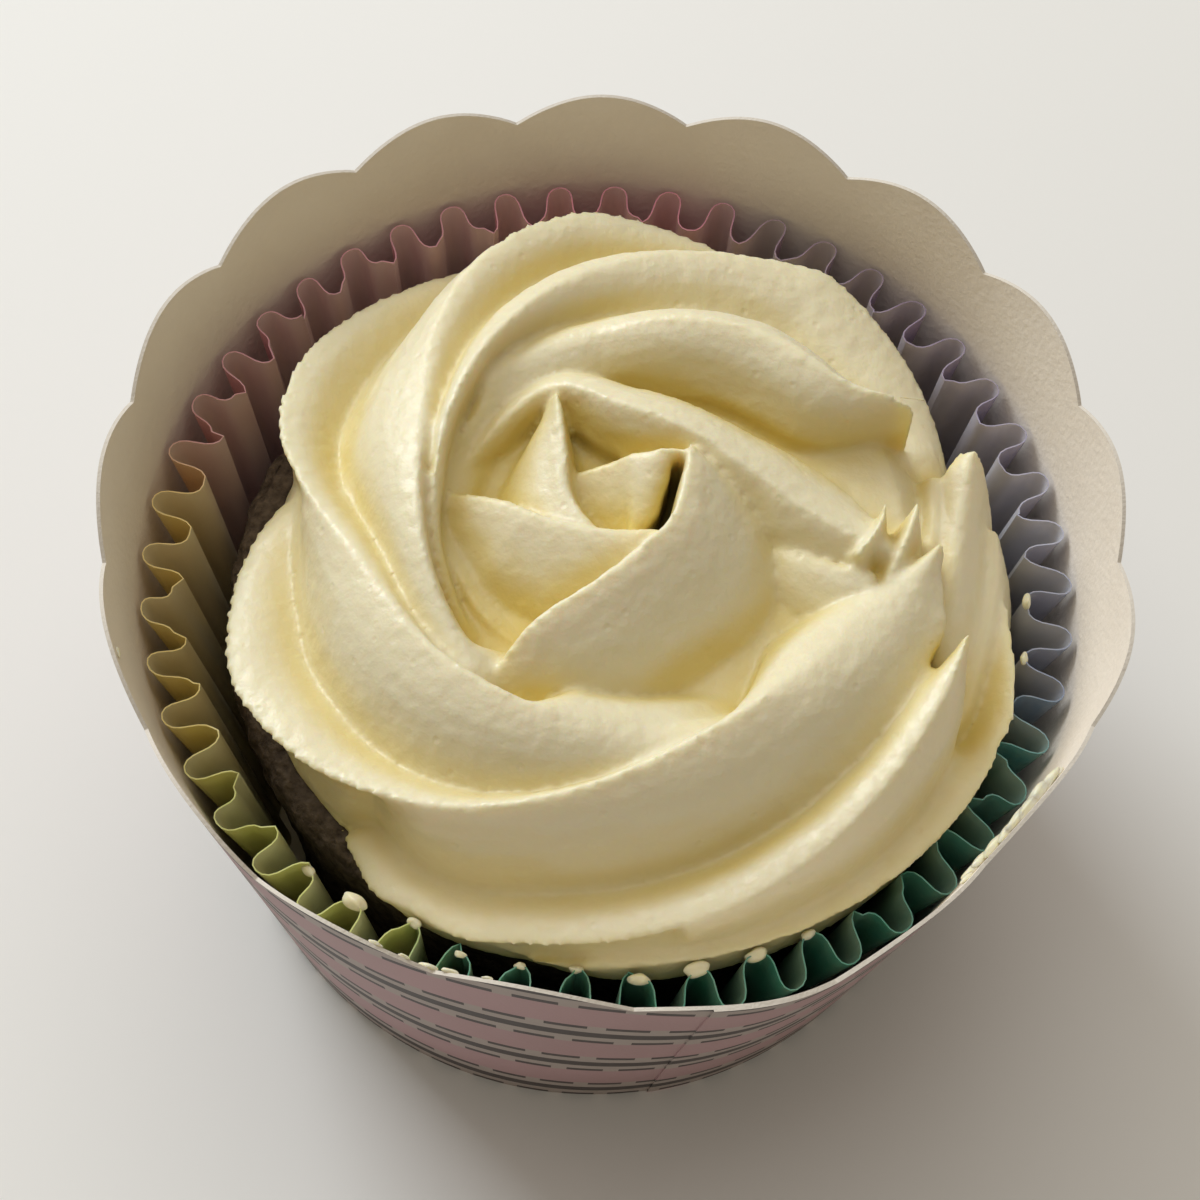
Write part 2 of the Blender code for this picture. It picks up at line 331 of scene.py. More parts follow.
columns = SCALLOPS * SCALLOP_STEPS + 1
cup_angles = np.linspace(SEAM, SEAM + 360.0, columns)
share = np.linspace(0.0, 1.0, CUP_ROWS)[:, None]
cup_heights = share * rim_height(cup_angles)[None, :]
card_face = card_radius(cup_angles[None, :], cup_heights, share)
overlap = SEAM_STEP * np.clip(1.0 - (cup_angles - SEAM) / SEAM_FADE, 0.0, 1.0)[None, :]
outside = polar(cup_angles[None, :], card_face + overlap, cup_heights)
inside = polar(cup_angles[None, :], card_face - CARD, np.maximum(cup_heights, CARD))
cup = closed_sheet("card_cup", outside, inside, [[0.0, 0.0, 0.0], [0.0, 0.0, CARD]],
                   (PRINTED, RAW, CORE_EDGE, RAW))
cup.data.set_sharp_from_angle(angle=CARD_CREASE)
print("card cup:", len(cup.data.polygons), "faces")

# %% [markdown]
# The print needs to know how far round the strip each point lies, and how high. The strip's
# start was glued half a millimetre off, so the bands jump there.

# %% Places on the strip
PRINT_RADIUS = 35.0
SEAM_SLIP = 0.5
SLIP_FADE = 12.0

from_seam = cup_angles - SEAM
turn_values = np.broadcast_to((np.radians(from_seam) * PRINT_RADIUS)[None, :], cup_heights.shape)
store(cup.data, "turn", np.concatenate((turn_values.ravel(), turn_values.ravel(), [0, 0])))
slip = SEAM_SLIP * np.clip(1.0 - from_seam / SLIP_FADE, 0.0, 1.0)[None, :]
rise_values = cup_heights - slip
store(cup.data, "rise", np.concatenate((rise_values.ravel(), cup_heights.ravel(), [0, 0])))
print("strip length:", round(float(turn_values.max())), "mm")

# %% [markdown]
# ## Printed card
# The outside is pink with bands like a stitched ribbon: a pale strip with a dark line down
# its middle and a dashed line along each edge, the dashes set between small pale tabs. The
# inside is plain unprinted card, and the cut edge is the brightest part.

# %% Card materials
BAND_PITCH = 13.9
BAND_FIRST = 3.4
BAND_HALF = 3.0
LINE_HALF = 1.0
DASH_HALF = 0.50
DASH_PERIOD = 4.3
DASH_SHARE = 0.70
TAB = 0.6
# Print colours, partly painted shade: the pink and the pale strip are darker than their own
# colours, for the shade on the cup's outside.
PINK_IN_SHADE = (0.45, 0.275, 0.285, 1.0)
PINK_WORN_IN_SHADE = (0.41, 0.255, 0.26, 1.0)
STRIP_IN_SHADE = (0.40, 0.335, 0.305, 1.0)
INK = (0.045, 0.032, 0.030, 1.0)
CARD_INSIDE = (0.92, 0.85, 0.77, 1.0)
CARD_INSIDE_DULL = (0.86, 0.78, 0.69, 1.0)
CARD_CORE = (0.66, 0.61, 0.54, 1.0)

printed = Nodes("printed_card")
calc = printed.maths
rise = printed.attribute("rise")
turned = printed.attribute("turn")
from_middle = calc("WRAP", calc("SUBTRACT", rise, BAND_FIRST), BAND_PITCH / 2, -BAND_PITCH / 2)
away = calc("ABSOLUTE", from_middle)
side = calc("SIGN", from_middle)
shifted = calc("MULTIPLY_ADD", side, DASH_PERIOD / 4, turned)
step = calc("FRACT", calc("DIVIDE", shifted, DASH_PERIOD))
in_dash = calc("LESS_THAN", step, DASH_SHARE)
in_gap = calc("SUBTRACT", 1.0, in_dash)
off_edge = calc("ABSOLUTE", calc("SUBTRACT", away, BAND_HALF))
near_edge = calc("LESS_THAN", off_edge, DASH_HALF)
dash = calc("MULTIPLY", near_edge, in_dash)
line = calc("LESS_THAN", away, LINE_HALF)
ink = calc("MAXIMUM", dash, line)
band = calc("LESS_THAN", away, BAND_HALF)
tab = calc("MULTIPLY", calc("LESS_THAN", away, BAND_HALF + TAB), in_gap)
pale = calc("MAXIMUM", band, tab)
patches = printed.spread(printed.grain(60.0), 0.35, 0.65, 0.0, 1.0)
pink_in_shade = printed.blend(patches, PINK_IN_SHADE, PINK_WORN_IN_SHADE)
print_in_shade = printed.blend(pale, pink_in_shade, STRIP_IN_SHADE)
print_in_shade = printed.blend(ink, print_in_shade, INK)
fibres = printed.grain(2500.0)
printed.paint(Base_Color=print_in_shade, Roughness=0.55,
              Normal=printed.relief(fibres, 0.15, 0.0002))

raw_card = Nodes("raw_card")
cloud = raw_card.spread(raw_card.grain(90.0, 5.0), 0.3, 0.7, 0.0, 1.0)
raw_card.paint(Base_Color=raw_card.blend(cloud, CARD_INSIDE, CARD_INSIDE_DULL),
               Roughness=0.75,
               Normal=raw_card.relief(raw_card.grain(1800.0, 6.0), 0.25, 0.0003))

card_core = Nodes("card_core")
card_core.paint(Base_Color=CARD_CORE, Roughness=0.8,
                Normal=card_core.relief(card_core.grain(4000.0), 0.4, 0.0002))
for finish in (printed, raw_card, card_core):
    cup.data.materials.append(finish.material)
print("bands up the wall:", math.ceil((CUP_HEIGHT - BAND_FIRST) / BAND_PITCH))

# %% [markdown]
# ## The pleated liner
# A flat disc of greaseproof paper is pressed into a cup, and the spare paper gathers in
# pleats. Seen from above each fold is an S, deeper at the edge than at the floor.

# %% Liner shape
PLEATS = 48
PLEAT_STEPS = 16
PAPER = 0.10
LINER_FLOOR = 0.9
LINER_HEIGHT = 35.2
LINER_TILT = 0.8
LINER_FLOOR_RADIUS = 27.8
LINER_RIM_RADIUS = 35.55
PLEAT_DEPTH_TOP = 3.4
PLEAT_DEPTH_FLOOR = 0.6
LINER_ROWS = 14
LINER_TURN = -2.5
DEPTH_SPREAD = 0.16
DEPTH_LIMITS = (0.7, 1.15)
LEAN_MEAN = 0.35
LEAN_SPREAD = 0.25
RISE_SPREAD = 0.25
SWING = 0.17
SWING_SHARE = 2.6
rng = np.random.default_rng(7)

liner_columns = PLEATS * PLEAT_STEPS
phase = np.arange(liner_columns) * 2 * np.pi / PLEAT_STEPS
pleat_index = (np.arange(liner_columns) + PLEAT_STEPS // 2) // PLEAT_STEPS % PLEATS
pleat_depth = 1.0 + DEPTH_SPREAD * rng.standard_normal(PLEATS)
pleat_depth = np.clip(pleat_depth, *DEPTH_LIMITS)[pleat_index]
pleat_lean = (LEAN_MEAN + LEAN_SPREAD * rng.standard_normal(PLEATS))[pleat_index]
pleat_rise = (RISE_SPREAD * rng.standard_normal(PLEATS))[pleat_index]
base_angle = np.degrees(phase) / PLEATS + LINER_TURN


def liner_sheet(offset):
    """Points of one face of the paper, offset inwards from the outer face."""
    rows = []
    for share in np.linspace(0.0, 1.0, LINER_ROWS):
        outer = LINER_FLOOR_RADIUS + (LINER_RIM_RADIUS - LINER_FLOOR_RADIUS) * share
        depth = PLEAT_DEPTH_FLOOR + (PLEAT_DEPTH_TOP - PLEAT_DEPTH_FLOOR) * share
        fold = (1 - np.cos(phase)) / 2
        radius = outer - depth * fold * (1 + (pleat_depth - 1) * share)
        swing = SWING * np.sin(2 * phase) * share
        lean = pleat_lean * share * fold * 0.5
        angle = base_angle + (swing + lean) * 360 / PLEATS / SWING_SHARE
        top = LINER_HEIGHT + LINER_TILT * np.sin(np.radians(base_angle)) + pleat_rise * fold
        height = LINER_FLOOR + (top - LINER_FLOOR) * share
        rows.append(polar(angle, radius, height))
    sheet = np.stack(rows)
    along = np.roll(sheet, -1, axis=1) - np.roll(sheet, 1, axis=1)
    normal = np.stack((along[..., 1], -along[..., 0], np.zeros(along.shape[:2])), axis=-1)
    normal /= np.linalg.norm(normal, axis=-1, keepdims=True)
    return sheet - normal * offset


print("pleats are", round(360 / PLEATS, 1), "degrees apart")

# %% [markdown]
# The two faces of the paper are two such sheets a tenth of a millimetre apart.

# %% Liner mesh
PAPER_CREASE = math.radians(60)
liner_outer = liner_sheet(0.0)
liner_inner = liner_sheet(PAPER)
liner_inner[0, :, 2] = LINER_FLOOR + PAPER
liner_centres = [[0, 0, LINER_FLOOR], [0, 0, LINER_FLOOR + PAPER]]
liner = closed_sheet("pleated_liner", liner_outer, liner_inner, liner_centres, (0, 1, 0, 0))
liner.data.set_sharp_from_angle(angle=PAPER_CREASE)
print("liner:", len(liner.data.polygons), "faces")

# %% [markdown]
# ## Liner dye
# A rainbow runs round the cup, so each point takes its colour from its angle.

# %% Dye by angle
# Each row: an angle, then red, green, blue and how far the bare paper shows through.
DYES = (
    (12.0, 0.33, 0.35, 0.47, 0.7),
    (45.0, 0.28, 0.23, 0.37, 0.8),
    (74.0, 0.34, 0.23, 0.34, 0.85),
    (84.0, 0.76, 0.26, 0.39, 1.0),
    (104.0, 0.76, 0.26, 0.39, 1.0),
    (118.0, 0.72, 0.31, 0.42, 1.0),
    (150.0, 0.66, 0.28, 0.36, 1.0),
    (168.0, 0.64, 0.3, 0.3, 1.0),
    (176.0, 0.84, 0.6, 0.19, 1.0),
    (210.0, 0.8, 0.63, 0.19, 1.0),
    (220.0, 0.58, 0.6, 0.17, 1.0),
    (248.0, 0.48, 0.54, 0.15, 1.0),
    (256.0, 0.06, 0.26, 0.18, 0.5),
    (320.0, 0.045, 0.26, 0.2, 0.45),
    (340.0, 0.06, 0.25, 0.24, 0.5),
    (350.0, 0.15, 0.2, 0.32, 0.6),
)


def dye_at(angle):
    """Colour of the print at an angle, blended round the circle."""
    rows = np.array(DYES)
    return np.stack([np.interp(angle, rows[:, 0], rows[:, k], period=360.0)
                     for k in range(1, 5)], axis=-1)


sheets = np.concatenate((liner_outer.reshape(-1, 3), liner_inner.reshape(-1, 3), liner_centres))
store(liner.data, "dye", dye_at(angles_of(sheets)), "FLOAT_COLOR", "color")
print("dye sectors:", len(DYES))

# %% [markdown]
# The inner face is much paler than the outer one, and the paper lets some light through.

# %% Liner materials
PAPER_BACK = (0.68, 0.66, 0.60, 1.0)
PAPER_FACES = (("liner_print", 0.04, 0.42), ("liner_back", 0.46, 0.50))
for name, share, rough in PAPER_FACES:
    paper = Nodes(name)
    pale = paper.maths("MULTIPLY", paper.attribute("dye", "Alpha"), share)
    streaks = paper.spread(paper.grain(350.0, 4.0, (1.0, 1.0, 0.3)), 0.3, 0.7, -0.05, 0.08)
    mixed = paper.blend(paper.maths("ADD", streaks, pale), paper.attribute("dye", "Color"),
                        PAPER_BACK)
    paper.paint(Base_Color=mixed, Roughness=rough, Subsurface_Weight=0.25,
                Subsurface_Radius=(1.0, 0.8, 0.6), Subsurface_Scale=0.0008,
                Normal=paper.relief(paper.grain(1500.0, 5.0), 0.2, 0.0002))
    liner.data.materials.append(paper.material)

# %% [markdown]
# ## The sponge
# Dark chocolate sponge fills the liner. Only a crescent of its top shows, so the surface is
# a turned form with its crumb pushed in and out, on its top and on its side.

# %% Sponge
CAKE_TOP = 31.0
CAKE_FLOOR = 1.6
CAKE_PROFILE = ((0.0, CAKE_TOP), (8.0, CAKE_TOP), (16.0, CAKE_TOP), (22.0, CAKE_TOP),
                (25.0, 30.9), (27.2, 30.6), (28.6, 30.0), (29.3, 29.2), (29.5, 28.0), (29.0, 24.0),
                (28.2, 18.0), (27.3, 10.0), (26.4, CAKE_FLOOR), (0.0, CAKE_FLOOR))
CAKE_SIDES = 480
SUBSTEPS = 5
TOP_FROM = 29.9
CRUMB = ((0.35, 2.2, 4, 1.0), (0.12, 0.8, 3, 2.0))


def noise_at(points, size, octaves, seed):
    """Smooth noise from about -1 to 1; size is the width of a feature in millimetres."""
    shift = Vector((seed, 3.1 * seed, 7.7 * seed))
    values = [noise.fractal(Vector(point) / size + shift, 1.0, 2.0, octaves) for point in points]
    return np.array(values)


def layers_at(points, layers):
    """Noise in layers, each an amount, a size, octaves and a seed."""
    return sum(amount * noise_at(points, *layer) for amount, *layer in layers)


profile = []
for (r0, z0), (r1, z1) in zip(CAKE_PROFILE, CAKE_PROFILE[1:]):
    for k in range(SUBSTEPS):
        profile.append((r0 + (r1 - r0) * k / SUBSTEPS, z0 + (z1 - z0) * k / SUBSTEPS))
kept = [(radius, height) for radius, height in profile if radius > 0.01]
cake_angles = np.arange(CAKE_SIDES) * 360.0 / CAKE_SIDES
cake_rows = np.stack([polar(cake_angles, radius, height) for radius, height in kept])
flat_rows = cake_rows.reshape(-1, 3)
crumb = layers_at(flat_rows, CRUMB)
radial = flat_rows * np.array([1.0, 1.0, 0.0])
radial /= np.linalg.norm(radial, axis=1, keepdims=True)
on_top = (flat_rows[:, 2] > TOP_FROM).astype(float)[:, None]
upward_push = np.array([[0.0, 0.0, 1.0]])
flat_rows = flat_rows + crumb[:, None] * (on_top * upward_push + (1 - on_top) * radial)
flat_rows = np.concatenate((flat_rows, [[0, 0, CAKE_TOP], [0, 0, CAKE_FLOOR]]))
cake_faces = grid_faces(len(kept), CAKE_SIDES, flip=True)
last_row = (len(kept) - 1) * CAKE_SIDES
centre_top = len(flat_rows) - 2
for i in range(CAKE_SIDES):
    after = (i + 1) % CAKE_SIDES
    cake_faces.append((centre_top, i, after))
    cake_faces.append((centre_top + 1, last_row + after, last_row + i))
cake = new_object("sponge", flat_rows, cake_faces)
print("sponge:", len(cake.data.polygons), "faces")

# %% [markdown]
# Chocolate crumb is brown on its broken walls; its pores get a painted shade, nearly black.

# %% Sponge material
SPONGE_PORE_SHADE = (0.055, 0.038, 0.025, 1.0)
SPONGE_LIGHT = (0.135, 0.100, 0.068, 1.0)
sponge = Nodes("sponge_crumb")
pores = sponge.grain(1100.0, 8.0)
# Painted shade: the crumb goes nearly black where the bump noise is low, in its pores.
crumb_with_pore_shade = sponge.blend(sponge.spread(pores, 0.35, 0.65, 0.0, 1.0),
                            SPONGE_PORE_SHADE, SPONGE_LIGHT)
sponge.paint(Base_Color=crumb_with_pore_shade, Roughness=0.85, Specular_IOR_Level=0.25,
             Normal=sponge.relief(pores, 0.9, 0.0008))
cake.data.materials.append(sponge.material)

# %% [markdown]
# ## The piped rosette
# A star nozzle gives a rope with sharp ridges and round flutes between them. The rope is
# laid in a spiral, and it turns on its own axis as it goes. So each ridge climbs from the
# cake on the outer side, goes over the top and dives on the inner side. One law for the
# radius and one for the height draw a ridge, and the flutes hang between neighbours.
#
# Each row is one ridge, counted from the outside. Angles and spans are in degrees.
# - `lead`: where it starts to climb from its outer radius to its inner one; `fall` says how
#   far on, `soft` how gradually; `drift` is a steady change for each quarter turn.
# - `middle` is its height at the lead, and `rise` how much higher its top is.
# - `first` and `last` bound it, and it sinks into the cream over its last `fade`.
# - `tuck` places the flute's bottom before the next ridge, early and late; `dig` sinks it.
# - `spread` pushes the ridge out by some millimetres round an angle, over a width.
# - `undercut` draws its foot in under its edge, up to an angle; `turnover` is how gently its
#   wall goes from leaning out to leaning in.
# - `tip` and `flare` bound the torn end, where it narrows and is pulled out and up. Past
#   `level` from its lead it runs level.

# %% Ridges
RIDGES = (
    dict(lead=272, outer=32.0, inner=21.0, fall=77, soft=14.5, drift=5.0,
         middle=33.8, rise=2.8, first=240, last=372, tuck=(0.30, 0.30)),
    dict(lead=256, outer=31.5, inner=17.0, fall=46, soft=25.0, drift=6.5,
         middle=35.5, rise=9.0, first=222, last=345, tuck=(0.25, 0.25),
         spread=(1.6, 245.0, 11.0), undercut=(0.25, 266.0), tip=(334.0, 345.0)),
    dict(lead=208, outer=31.3, inner=8.0, fall=47, soft=24.0, drift=6.5,
         middle=38.5, rise=7.5, first=140, last=361, tuck=(0.36, 0.12), dig=0.2,
         undercut=(0.45, 234.0), turnover=1.5, tip=(346.0, 361.0),
         flare=(338.0, 361.0, 3.4, 2.4)),
    dict(lead=150, outer=30.2, inner=20.5, fall=28, soft=8.5, drift=-2.4,
         middle=38.5, rise=7.5, first=80, last=330, fade=48, tuck=(0.30, 0.30), dig=0.5,
         turnover=1.5),
    dict(lead=101, outer=31.0, inner=12.2, fall=30, soft=16.5, drift=2.7,
         middle=39.3, rise=6.8, first=30, last=262, tuck=(0.45, 0.45), dig=0.7),
    dict(lead=63, outer=30.6, inner=9.4, fall=22, soft=33.0, drift=2.6,
         middle=38.5, rise=7.5, first=-15, last=240, tuck=(0.50, 0.50), dig=0.5),
    dict(lead=-36, outer=28.3, inner=22.0, fall=67, soft=3.7, drift=-3.9,
         middle=39.0, rise=7.5, first=29.0, last=236, level=140,
         tip=(33.0, 29.0), flare=(36.0, 29.0, 1.0, 0.0)),
)
print("ridges:", len(RIDGES))

# %% [markdown]
# The innermost turn of the rope is squeezed into separate folds, and at the right the nozzle
# was pulled away and left a torn smear. Each fold is an edge line with a slope on either
# side. The fourth number of a point is how wide the slopes are there.

# %% Folds
FOLDS = (
    dict(edge=((19.0, -0.6, 44.6, 0.5), (17.6, -0.3, 45.0, 0.9), (15.0, 0.4, 45.3, 1.25),
               (11.8, 2.0, 45.6, 1.4), (9.1, 3.7, 45.9, 1.3), (7.0, 4.8, 46.2, 1.15),
               (4.4, 6.3, 46.4, 1.0), (1.3, 7.5, 46.4, 1.0), (-1.7, 8.5, 46.0, 0.9),
               (-4.0, 9.6, 45.4, 0.8), (-5.9, 10.2, 44.8, 0.7), (-7.6, 9.8, 44.2, 0.6),
               (-9.2, 8.4, 43.8, 0.55), (-10.6, 6.6, 43.4, 0.5), (-11.8, 4.8, 42.9, 0.5),
               (-12.7, 3.0, 42.4, 0.4), (-12.8, 0.7, 41.0, 0.3)),
         outer=(3.7, 3.2), inner=(2.4, 4.4), round=1.2),
    dict(edge=((18.2, -2.6, 44.3, 1.0), (15.4, -2.0, 44.0, 1.0), (12.6, -1.0, 43.3, 0.8),
               (10.6, 0.4, 42.4, 0.4)),
         outer=(1.0, 3.0), inner=(5.4, 4.6), round=1.5),
    dict(edge=((-8.4, -13.8, 44.0, 1.0), (-5.9, -10.4, 46.0, 1.0), (-2.0, -7.1, 46.9, 1.0),
               (1.1, -3.9, 47.2, 1.0), (2.9, -1.5, 47.4, 1.0), (3.5, 2.0, 47.3, 0.85),
               (3.7, 4.2, 46.9, 0.5), (3.8, 5.4, 46.0, 0.2)),
         outer=(9.0, 6.8), inner=(0.5, 5.0)),
    dict(edge=((-14.0, 1.0, 42.6, 1.0), (-9.3, -0.1, 44.2, 1.0), (-6.6, -1.3, 44.8, 1.0),
               (-2.4, -2.2, 45.4, 1.0), (2.2, -2.0, 45.8, 1.0)),
         outer=(6.0, 4.0), inner=(1.0, 3.5)),
    dict(edge=((-6.5, 9.5, 45.0, 0.1), (-5.8, 7.0, 45.0, 0.45), (-5.3, 4.4, 44.8, 0.75),
               (-4.9, 1.7, 44.7, 0.95), (-4.0, -0.2, 44.8, 1.0), (-2.4, -2.1, 45.0, 1.0)),
         outer=(5.2, 4.0), inner=(1.5, 4.6)),
    dict(edge=((3.3, 4.7, 46.8, 0.1), (2.5, 4.7, 46.6, 0.15), (1.7, 4.5, 46.2, 0.5),
               (1.0, 4.4, 45.9, 0.95), (-0.4, 4.4, 45.3, 1.0),
               (-1.9, 4.1, 44.2, 1.0), (-4.9, 3.2, 43.0, 1.0)),
         outer=(1.4, 5.0), inner=(5.4, 2.2)),
)
TAIL = (
    dict(edge=((22.6, -9.0, 37.5, 1.0), (23.2, -5.5, 39.5, 1.0), (24.2, -1.5, 40.6, 0.9),
               (24.8, 4.5, 41.1, 0.75), (25.1, 8.0, 41.8, 0.6), (25.4, 10.1, 42.3, 0.35)),
         outer=(4.6, 7.0), inner=(3.0, 2.2), round=0.5),
    dict(edge=((24.6, -13.0, 34.8, 1.0), (26.4, -8.0, 36.0, 1.0), (27.3, -4.0, 36.8, 1.0),
               (27.9, 0.0, 37.4, 1.0), (28.0, 3.0, 37.8, 0.8), (27.8, 5.6, 38.4, 0.4)),
         outer=(2.2, 4.0), inner=(3.4, 1.6), round=0.4),
    dict(edge=((21.8, -4.0, 39.4, 1.0), (22.4, 0.5, 40.2, 1.0), (22.8, 4.5, 40.4, 0.9),
               (22.6, 8.6, 40.2, 0.6)),
         outer=(1.6, 0.8), inner=(2.0, 2.4), round=0.4),
    dict(edge=((16.6, -1.8, 45.4, 1.0), (17.6, -0.3, 45.5, 0.8), (18.3, 1.4, 45.3, 0.45),
               (18.5, 2.8, 45.2, 0.1)),
         outer=(1.3, 3.2), inner=(1.3, 3.2), round=0.3),
    dict(edge=((18.8, -3.6, 43.4, 1.0), (19.8, -1.0, 44.4, 1.0), (20.6, 1.6, 44.8, 0.75),
               (20.9, 3.4, 44.7, 0.2)),
         outer=(1.9, 4.6), inner=(1.8, 4.2), round=0.3),
)
print("folds:", len(FOLDS), "in the middle and", len(TAIL), "in the tail")

# %% [markdown]
# ## From a law to a section
# The laws give a ridge's edge at an angle, and its flutes and its outline follow from that.

# %% Ridge law
ROSETTE_X = 1.0
ROSETTE_BASE = 31.1
EARLY_DROP = 0.25
EARLY_SPAN = 60.0
LEVEL_DRIFT = 0.35
LEVEL_CLIMB = 0.8
FLARE_POWER = 1.5
LEAST_RISE = 0.2


def ramp(value, begin, end):
    """0 at begin, 1 at end and a straight rise between them."""
    return min(max((value - begin) / (end - begin), 0.0), 1.0)


def ease(value, begin, end):
    """A ramp that starts and ends smoothly."""
    t = ramp(value, begin, end)
    return t * t * (3.0 - 2.0 * t)


def mix(one, other, share):
    return tuple(a + (b - a) * share for a, b in zip(one, other))


def ridge_point(ridge, angle):
    """Radius and height of a ridge at an angle."""
    turned = angle - ridge["lead"]
    span = ridge["outer"] - ridge["inner"]
    if turned < 0:
        share = 1 - EARLY_DROP * (turned / EARLY_SPAN) ** 2
    else:
        share = ((1 + math.exp(-ridge["fall"] / ridge["soft"]))
                 / (1 + math.exp((turned - ridge["fall"]) / ridge["soft"])))
    radius = ridge["inner"] + span * share + ridge["drift"] * turned / 90.0
    level = max(turned - ridge.get("level", turned), 0.0)
    radius -= LEVEL_DRIFT * ridge["drift"] * level / 90.0
    extent, place, width = ridge.get("spread", (0.0, 0.0, 1.0))
    radius += extent * float(bump(angle, place, width))
    height = ridge["middle"] + ridge["rise"] * math.sin(math.radians(turned - LEVEL_CLIMB * level))
    if "flare" in ridge:
        begin, end, outwards, upwards = ridge["flare"]
        pull = ramp(angle, begin, end) ** FLARE_POWER
        radius += outwards * pull
        height += upwards * pull
    return radius, max(height, ROSETTE_BASE + LEAST_RISE)


print("edge of ridge 3:", np.round(ridge_point(RIDGES[2], 270.0), 1), "mm")

# %% [markdown]
# A flute is a hollow between two edges. Its bottom is tucked towards the outer one and sunk
# below the straight line between them. The faces on either side swell a little.

# %% Flutes and faces
FLUTE = 0.28
LEAST_SINK = 0.35
TUCK_TURN = 60.0
BELLY = 0.11
BELLY_POWER = 1.4
FLANK = (0.15, 0.32, 0.50, 0.68, 0.84, 0.94)
SHARP_TURNOVER = 0.01
TIP_LOSS = 0.82
TIP_POWER = 1.3


def valley(ridge, outer, inner, angle):
    """Bottom of the flute inside a ridge: tucked near that ridge and sunk below."""
    early, late = ridge["tuck"]
    tuck = early + (late - early) * ease(angle - ridge["lead"], 0.0, TUCK_TURN)
    run = inner[0] - outer[0]
    climb = inner[1] - outer[1]
    gap = math.hypot(run, climb)
    sink = FLUTE * gap * max(LEAST_SINK, abs(run) / gap)
    return (outer[0] + run * tuck - FLUTE * climb * math.copysign(1.0, -run),
            outer[1] + climb * tuck - sink - ridge.get("dig", 0.0))


def flank(low, high, turnover=SHARP_TURNOVER):
    """Points up one face of a ridge, which swells a little out of the straight."""
    run = high[0] - low[0]
    climb = high[1] - low[1]
    side = max(-1.0, min(1.0, -run / turnover))
    points = []
    for t in FLANK:
        swell = BELLY * math.sin(math.pi * t ** BELLY_POWER)
        points.append((low[0] + run * t + side * climb * swell,
                       low[1] + climb * t + abs(run) * swell))
    return points


def tip_share(ridge, angle):
    """1 along a ridge, falling to a small number where it ends in a torn tip."""
    if "tip" not in ridge:
        return 1.0
    return 1.0 - TIP_LOSS * ramp(angle, *ridge["tip"]) ** TIP_POWER


# %% [markdown]
# The liner holds the cream in, with a little more room at the front. Above the liner's edge
# the cream may lean out over it.

# %% Room for the cream
ROSETTE_FIT = 30.2
FIT_LIMIT = 31.5
FRONT_FIT = 1.3
FRONT = 275.0
FRONT_HALF = 70.0
FRONT_FADE = 30.0
FIT_WAVER = 0.8
FIT_WAVES = 5.0
LEAN_FROM = 34.6
LEAN_OUT = 0.5


def fit_round(index, angle):
    """Room for a ridge at an angle, below the liner's edge."""
    fit = ROSETTE_FIT + FRONT_FIT * ease(FRONT_HALF - abs(angle - FRONT), 0.0, FRONT_FADE)
    fit += FIT_WAVER * noise.noise(Vector((math.radians(angle) * FIT_WAVES, index, 0.5)))
    return min(fit, FIT_LIMIT - ROSETTE_X * math.cos(math.radians(angle)))


def fit_at(fit, height):
    """Room at a height: more above the liner's edge."""
    return fit + max(0.0, height - LEAN_FROM) * LEAN_OUT


print("room at the front:", round(fit_round(0, FRONT), 1), "mm")

# %% [markdown]
# A ridge's outline goes from its foot over its outer flute, up its outer face to the edge
# and down the inner face to the next flute. The ridge fades in and out at its ends.

# %% Ridge section
FOOT_INSET = 0.8
FOOT_LIFT = 0.1
BODY = 4.5
LEAST_BODY = 0.5
FLUTE_BLEND = (2.0, 1.0)
RISING = -78.0
RISING_HALF = 8.0
UNDERCUT_LIMIT = 2.6
UNDERCUT_FADE = 34.0
END_SINK = 4.0
END_SPAN = 16.0


def ridge_foot(index, edge, angle):
    """Outer foot of a ridge: on the cake, or in the flute of the ridge outside it."""
    amount, end = RIDGES[index].get("undercut", (0.0, 0.0))
    under = min(amount * (edge[1] - ROSETTE_BASE), UNDERCUT_LIMIT)
    under *= 1.0 - ease(angle, end - UNDERCUT_FADE, end)
    foot = (edge[0] - FOOT_INSET - under, ROSETTE_BASE + FOOT_LIFT)
    if index == 0:
        return foot
    outside = RIDGES[index - 1]
    beyond = ridge_point(outside, angle)
    share = ease(angle - outside["lead"], RISING - RISING_HALF, RISING + RISING_HALF)
    share *= ease(beyond[0] - edge[0], 0.0, FLUTE_BLEND[0])
    return mix(foot, valley(outside, beyond, edge, angle), share)


def ridge_back(index, edge, angle):
    """Inner foot of a ridge: inside the cream, or in the flute before the next ridge."""
    foot = (edge[0] - BODY, edge[1] - BODY)
    if index + 1 < len(RIDGES):
        inside = RIDGES[index + 1]
        within = ridge_point(inside, angle)
        share = ease(inside["last"] - angle, 0.0, inside.get("fade", END_SPAN))
        share *= ease(edge[0] - within[0], 0.0, FLUTE_BLEND[1])
        foot = mix(foot, valley(RIDGES[index], edge, within, angle), share)
    return (min(foot[0], edge[0] - LEAST_BODY), foot[1])


